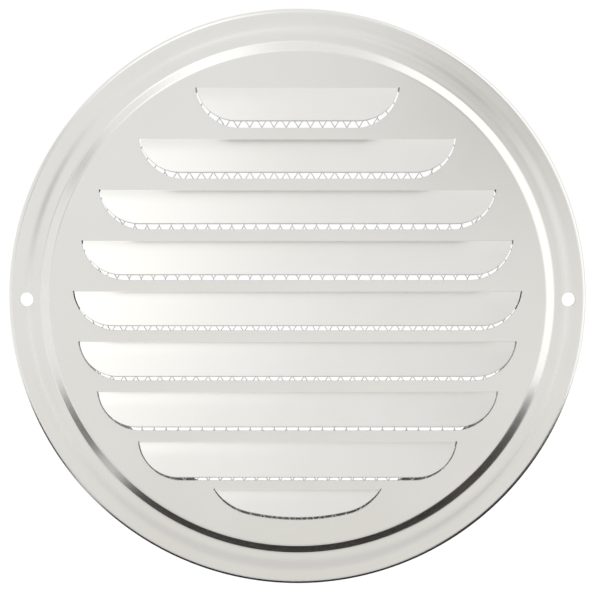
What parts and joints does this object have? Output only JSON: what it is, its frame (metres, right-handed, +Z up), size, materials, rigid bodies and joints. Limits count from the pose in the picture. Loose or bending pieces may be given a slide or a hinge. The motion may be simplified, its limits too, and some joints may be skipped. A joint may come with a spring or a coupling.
{
  "type": "round vent cover",
  "caption": "Round pressed-steel vent cover: louvres lanced outward from a raised panel, insect mesh behind, and a collar that slides into a round duct. Screws to a wall through its flange.",
  "frame": {"origin": "on the axis of the duct, in the plane of the wall that the rim's back edge meets", "axes": "+Y into the wall along the collar, +Z up as the cover hangs with its louvres opening downward, +X to the right seen from the front"},
  "size_m": [0.15, 0.0407, 0.15],
  "materials": {
    "plate_steel": "polished stainless sheet",
    "mesh_metal": "bare expanded metal",
    "collar_steel": "mill-finish stainless sheet"
  },
  "bodies": {
    "root": {"face_plate": "plate_steel", "insect_mesh": "mesh_metal", "collar": "collar_steel"}
  },
  "joints": []
}
